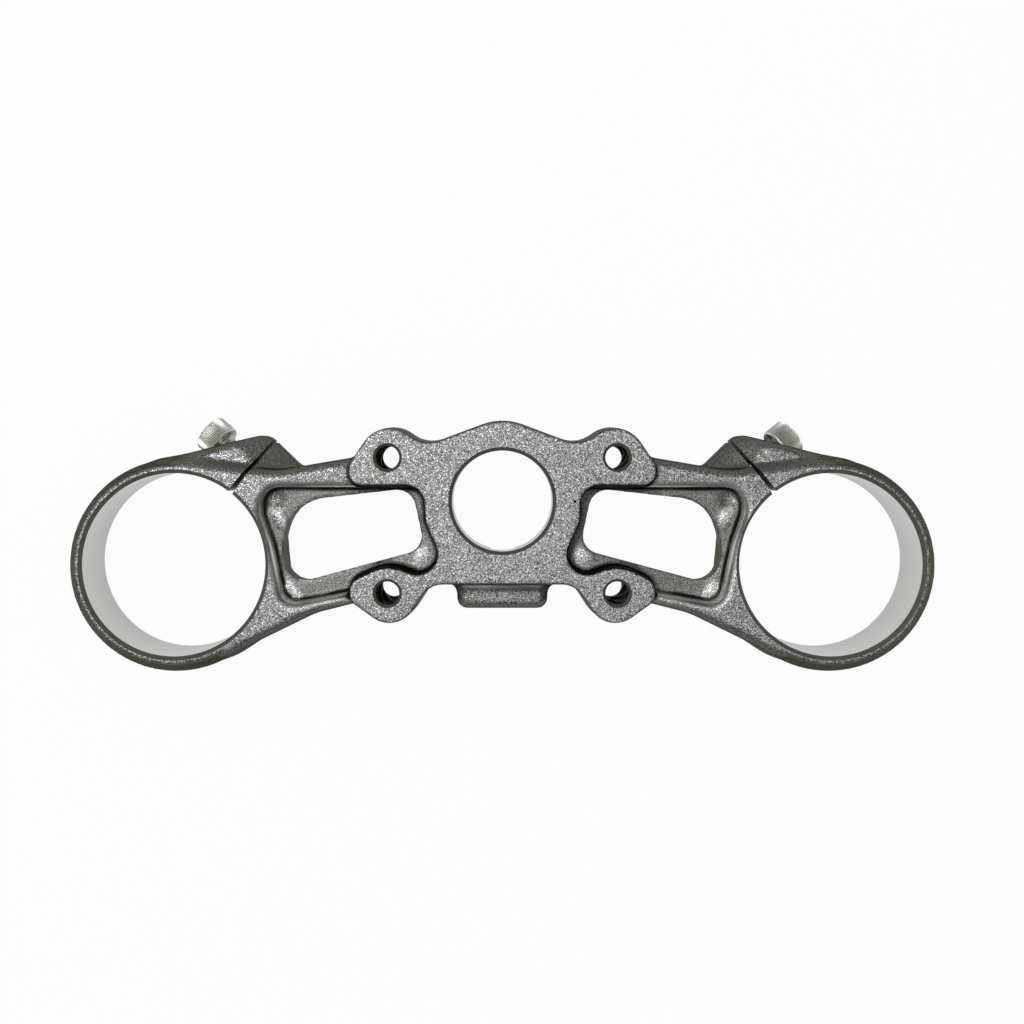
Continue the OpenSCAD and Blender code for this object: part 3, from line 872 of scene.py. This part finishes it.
def plated_steel(finish):
    """Zinc-plated steel with a faint warm mottle, with painted shade in its grooves and from the head's lower edge to
    the tip.
    """
    paint = Paint("plated_steel")
    cloud, grain = paint.noise(2.2, 3, 0.6), paint.noise(0.35, 2, 0.5)
    tone = paint.blend(cloud.between(0.4, 0.75), finish.zinc, [c * w for c, w in zip(finish.zinc, (0.88, 0.85, 0.78))])
    # Painted shade in the grooves and under the head.
    tone = paint.scaled(tone, (0.85 + grain * 0.3) * (1.2 - paint.kept("valley") * 0.65))
    return paint.shade(
        {"Metallic": 1.0}, Base_Color=tone, Roughness=0.34 + grain * 0.14, Normal=paint.bump(grain, 0.01, 0.5)
    )


def paper_floor(colour):
    """White floor that keeps a soft shadow: seen straight or in a reflection it is mostly its own
    colour, and for the light that it sends on it is plain paper."""
    paint = Paint("paper")
    path = paint.add("LightPath")
    seen = Number(paint, path.outputs["Is Camera Ray"])
    mirrored = Number(paint, path.outputs["Is Glossy Ray"])
    through = Number(paint, path.outputs["Is Transmission Ray"])
    own = seen.math("MINIMUM", seen + mirrored + through, 1.0) * 0.95
    matt = paint.add("BsdfDiffuse", None, {"Color": opaque([c * 0.9 for c in colour])})
    glow = paint.add("Emission", None, {"Color": opaque(colour), "Strength": 1.0})
    both = paint.add("MixShader", None, {0: own, 1: matt.outputs[0], 2: glow.outputs[0]})
    paint.add("OutputMaterial", None, {"Surface": both.outputs[0]})
    return paint.material


class CLAMP_OT_casting(bpy.types.Operator):
    """Makes the cast yoke with its machined bores, holes and splits"""

    bl_idname = "clamp.casting"
    bl_label = "Yoke casting"

    def execute(self, context):
        scene = context.scene
        shape = CastingShape(scene.clamp_casting)
        cell = scene.clamp_casting.cell / MM
        low, high = np.array([-128.0, -53.0, -2.5]), np.array([128.0, 27.0, PLATE_TOP + 2.5])
        axes = [np.arange(a, b + cell, cell) for a, b in zip(low, high)]
        grid = shape(*np.meshgrid(*axes, indexing="ij"))
        points, faces = zero_surface(grid, low, cell)
        points = shape.settle(points)
        coats = [make(scene.clamp_finish) for make in (cast_coat, bare_metal, turned_edge, dull_metal)]
        piece = make_object("yoke_casting", to_metres(points), faces, coats)
        sizes = scene.clamp_machining
        sides = (-1, 1)
        bores = [fork_bore(side, sizes) for side in sides] + [stem_bore(sizes)]
        bores += [riser_hole(side, y, sizes) for side in sides for y in (RISER_REAR_Y, RISER_FRONT_Y)]
        cut_away(piece, [
            gather(bores),
            *key_notch(),
            gather([bolt_way(side, sizes) for side in sides]),
            gather([split_cut(side, sizes) for side in sides]),
        ])
        places = mesh_points(piece.data) / MM - [0, 0, BASE_Z]
        normals = shape.normals(places)
        # facing is the normal's height; the coat reads it for its painted light on tops and painted shade on sides.
        store(piece.data, "facing", normals[:, 2])
        # hollow measures how enclosed a point is; the coat reads it for painted shade in hollows.
        store(piece.data, "hollow", shape.hollow(places, normals, (2.5, 5)))
        # crease marks tight corners, the plate's sides over the pocket and the foot of the pocket's wall; the coat
        # reads it for painted shade.
        crease = shape.hollow(places, normals, (0.7, 1.4))
        dark = np.maximum(shape.on_plate_side(places) * (1 - normals[:, 2]), shape.on_pocket_foot(places))
        store(piece.data, "crease", np.maximum(crease, dark))
        pocket = shape.in_pocket(places)
        store(piece.data, "pocket", pocket)
        # Painted highlight on the swellings of the pocket's floor, for the coat to read.
        store(piece.data, "rubbed", pocket * shape.swell(-np.abs(places[:, 0]), places[:, 1]))
        smooth_with_edges(piece.data)
        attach(piece, "root")
        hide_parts("yoke")
        return {"FINISHED"}


def bolt_body(sizes):
    """Socket-head bolt along Z with the head's underside at zero. Its rings run from the floor of the
    socket over the head to the tip: the socket's radius is half its width over the cosine of the angle
    from the nearest flat, the knurl is a wave round the head, and the thread a wave along a helix."""
    head, tall, shank = sizes.head_r / MM, sizes.head_h / MM, sizes.shank_r / MM
    count = 4 * sizes.teeth
    turn = np.arange(count) / count
    hexagon = sizes.socket_w / MM / 2 / np.cos(np.radians((turn * 360 + 30) % 60 - 30))
    round_rim = np.maximum(hexagon, sizes.socket_w / MM / 2 + 0.38)
    knurl = sizes.knurl_depth / MM * np.array([0, 0.5, 1, 0.5])[np.arange(count) % 4]
    even = np.ones(count)
    floor = sizes.socket_depth / MM - tall
    rows = [
        (0.25 * even, floor + 0.9), (hexagon * 0.86, floor), (hexagon, floor), (hexagon, -tall + 0.4),
        (round_rim, -tall), (head * 0.84 * even, -tall), (head * 0.93 * even, -tall + 0.14),
        (head * 0.97 * even, -tall + 0.42),
    ]
    rows += [(head - knurl * depth, -tall + h) for h, depth in ((0.6, 0.4), (0.8, 1), (tall - 0.7, 1), (tall - 0.5, 0.5))]
    rows += [(head * 0.965 * even, -0.3), (head * 0.93 * even, 0), (3.75 * even, 0), (3.35 * even, 0.12)]
    rows += [(shank * 0.98 * even, 0.4)]
    long, pitch = sizes.shank_length / MM, sizes.pitch / MM
    heights = np.arange(0.5, long - 0.9, pitch / 6)
    depth = sizes.thread_depth / MM
    for h in heights:
        fade = ramp(h, 0.4, 1.2) * (1 - ramp(h, long - 1.9, long - 0.8))
        rows.append((shank - depth * (1 - thread_wave(h / pitch - turn)) * fade - 0.25 * ramp(h, long - 2.2, long - 0.9), h))
    rows += [(shank * 0.8 * even, long - 0.25), (shank * 0.72 * even, long), (0.25 * even, long)]
    radius = np.stack([row[0] for row in rows])
    points, faces, _ = lathe(radius, [row[1] for row in rows], count)
    # Painted shade: darker in the grooves of the knurl, socket and thread, and from the head's lower edge to the tip,
    # under the head.
    valley = np.clip((radius.max(axis=1, keepdims=True) - radius) / 0.38, 0, 1)
    below = (np.array([row[1] for row in rows]) > -0.35)[:, None] * 0.7
    return points, faces, np.maximum(valley, below * (1 - 0.5 * valley)).ravel()


class CLAMP_OT_pinch_bolts(bpy.types.Operator):
    """Makes the two knurled pinch bolts, each backed out of its seat"""

    bl_idname = "clamp.pinch_bolts"
    bl_label = "Pinch bolts"

    def execute(self, context):
        sizes = context.scene.clamp_bolts
        ear = context.scene.clamp_machining.ear_wall / MM
        steel = plated_steel(context.scene.clamp_finish)
        points, faces, valley = bolt_body(sizes)
        for side, name, backed_out in (
            (-1, "left", sizes.left_backed_out), (1, "right", sizes.right_backed_out),
        ):
            moved = points - [0, 0, ear + backed_out / MM]
            piece = make_object(f"pinch_screw_{name}", to_metres(on_bolt_axis(moved, side)), faces, [steel])
            store(piece.data, "valley", valley)
            smooth_with_edges(piece.data, 32)
            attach(piece, "root")
            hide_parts(f"pinch_bolt_{name}")
        return {"FINISHED"}


def area_lamp(name, place, aim, size, power):
    """Soft square lamp at a place, turned to its aim."""
    lamp = bpy.data.lights.new(name, "AREA")
    lamp.shape, lamp.size, lamp.energy = "SQUARE", size, power
    holder = bpy.data.objects.new(name, lamp)
    bpy.context.scene.collection.objects.link(holder)
    holder.location = place
    away = np.array(place) - np.array(aim)
    holder.rotation_euler = (
        math.atan2(math.hypot(away[0], away[1]), away[2]), 0, math.atan2(away[1], away[0]) + math.pi / 2,
    )
    return holder


class CLAMP_OT_stage(bpy.types.Operator):
    """Makes the white floor, the soft light and the camera over the part"""

    bl_idname = "clamp.stage"
    bl_label = "Stage, light and camera"

    def execute(self, context):
        scene, studio = context.scene, context.scene.clamp_studio
        floor_z, half = BASE_Z * MM - 0.0002, 6.0
        corners = [(-half, -half, floor_z), (half, -half, floor_z), (half, half, floor_z), (-half, half, floor_z)]
        floor = make_object("floor", corners, [(0, 1, 2, 3)], [paper_floor(scene.clamp_finish.paper)])
        area_lamp("softbox", (-0.29, 0.24, 1.15), (0, 0, 0), 0.27, studio.lamp_power)
        world = bpy.data.worlds.new("studio")
        world.use_nodes = True
        scene.world = world
        tree = world.node_tree
        tree.nodes.clear()
        path = tree.nodes.new("ShaderNodeLightPath")
        fill, white = tree.nodes.new("ShaderNodeBackground"), tree.nodes.new("ShaderNodeBackground")
        fill.inputs[0].default_value, fill.inputs[1].default_value = (1, 1, 1, 1), studio.fill
        white.inputs[0].default_value = opaque(scene.clamp_finish.paper)
        mix, out = tree.nodes.new("ShaderNodeMixShader"), tree.nodes.new("ShaderNodeOutputWorld")
        tree.links.new(path.outputs["Is Camera Ray"], mix.inputs[0])
        tree.links.new(fill.outputs[0], mix.inputs[1])
        tree.links.new(white.outputs[0], mix.inputs[2])
        tree.links.new(mix.outputs[0], out.inputs[0])
        camera = bpy.data.cameras.new("camera")
        camera.lens, camera.sensor_width = 50.6, 36.0
        camera.shift_x, camera.shift_y = 9.7 / 1024, -57.4 / 1024
        camera.clip_start, camera.clip_end = 0.01, 20
        holder = bpy.data.objects.new("camera", camera)
        scene.collection.objects.link(holder)
        holder.location = (0, studio.behind, studio.height + BASE_Z * MM)
        scene.camera = holder
        scene.view_settings.view_transform = "Standard"
        return {"FINISHED"}


class CLAMP_PT_sidebar(bpy.types.Panel):
    bl_label = "Triple Clamp"
    bl_space_type = "VIEW_3D"
    bl_region_type = "UI"
    bl_category = "Triple Clamp"

    def draw(self, context):
        for operator, group in STEPS:
            self.layout.operator(operator)
            settings = getattr(context.scene, group)
            for key in settings.bl_rna.properties.keys():
                if key not in ("rna_type", "name"):
                    self.layout.prop(settings, key)


STEPS = (
    ("clamp.casting", "clamp_casting"),
    ("clamp.pinch_bolts", "clamp_bolts"),
    ("clamp.stage", "clamp_studio"),
)
GROUPS = {
    "clamp_casting": CastingSizes,
    "clamp_machining": MachiningSizes,
    "clamp_bolts": BoltSizes,
    "clamp_finish": Finishes,
    "clamp_studio": Studio,
}
OPERATORS = (CLAMP_OT_casting, CLAMP_OT_pinch_bolts, CLAMP_OT_stage, CLAMP_PT_sidebar)


def register():
    for part in (*GROUPS.values(), *OPERATORS):
        bpy.utils.register_class(part)
    for name, group in GROUPS.items():
        setattr(bpy.types.Scene, name, PointerProperty(type=group))


def unregister():
    for name in GROUPS:
        delattr(bpy.types.Scene, name)
    for part in reversed((*GROUPS.values(), *OPERATORS)):
        bpy.utils.unregister_class(part)


def main():
    register()
    bpy.ops.clamp.casting()
    bpy.ops.clamp.pinch_bolts()
    bpy.ops.clamp.stage()


if __name__ == "__main__":
    main()
